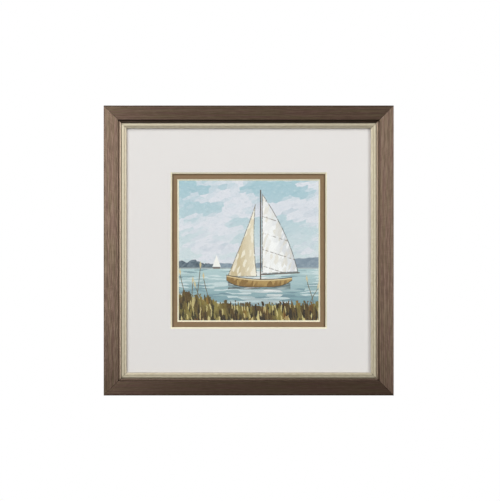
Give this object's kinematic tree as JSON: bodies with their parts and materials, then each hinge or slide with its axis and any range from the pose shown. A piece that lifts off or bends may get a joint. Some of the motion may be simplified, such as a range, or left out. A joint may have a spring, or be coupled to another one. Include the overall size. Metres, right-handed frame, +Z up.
{
  "type": "framed print",
  "caption": "Square framed print to hang on a wall: bronze brown moulding with a gold inner lip, glass, a wide white mat over a narrow tan mat, and a small picture.",
  "frame": {"origin": "centre of the back, on the wall side of the paper dust cover", "axes": "+X to the viewer's right, +Y away from the viewer towards the wall, +Z up; the picture faces -Y"},
  "size_m": [0.4064, 0.0256, 0.4064],
  "materials": {
    "rail_finish": "brushed bronze brown foil or paint on wood, low sheen, bare wood behind",
    "lip_finish": "champagne gold leaf finish on wood, low sheen",
    "glass": "clear picture glass",
    "white_mat": "matt white mat board with a cream core",
    "tan_mat": "matt tan mat board with a cream core",
    "print": "matt printed paper",
    "backing": "plain hardboard",
    "kraft": "brown kraft paper",
    "steel": "zinc plated steel",
    "rubber": "soft dark grey rubber"
  },
  "bodies": {
    "root": {"rail_top": "rail_finish", "rail_bottom": "rail_finish", "rail_left": "rail_finish", "rail_right": "rail_finish", "lip_top": "lip_finish", "lip_bottom": "lip_finish", "lip_left": "lip_finish", "lip_right": "lip_finish", "glass_pane": "glass", "outer_mat": "white_mat", "inner_mat": "tan_mat", "print_sheet": "print", "backing_board": "backing", "dust_cover": "kraft", "hanger_strap_left": "steel", "hanger_strap_right": "steel", "hanger_ring_left": "steel", "hanger_ring_right": "steel", "hanger_screw_left": "steel", "hanger_screw_right": "steel", "bumper_left": "rubber", "bumper_right": "rubber"}
  },
  "joints": []
}
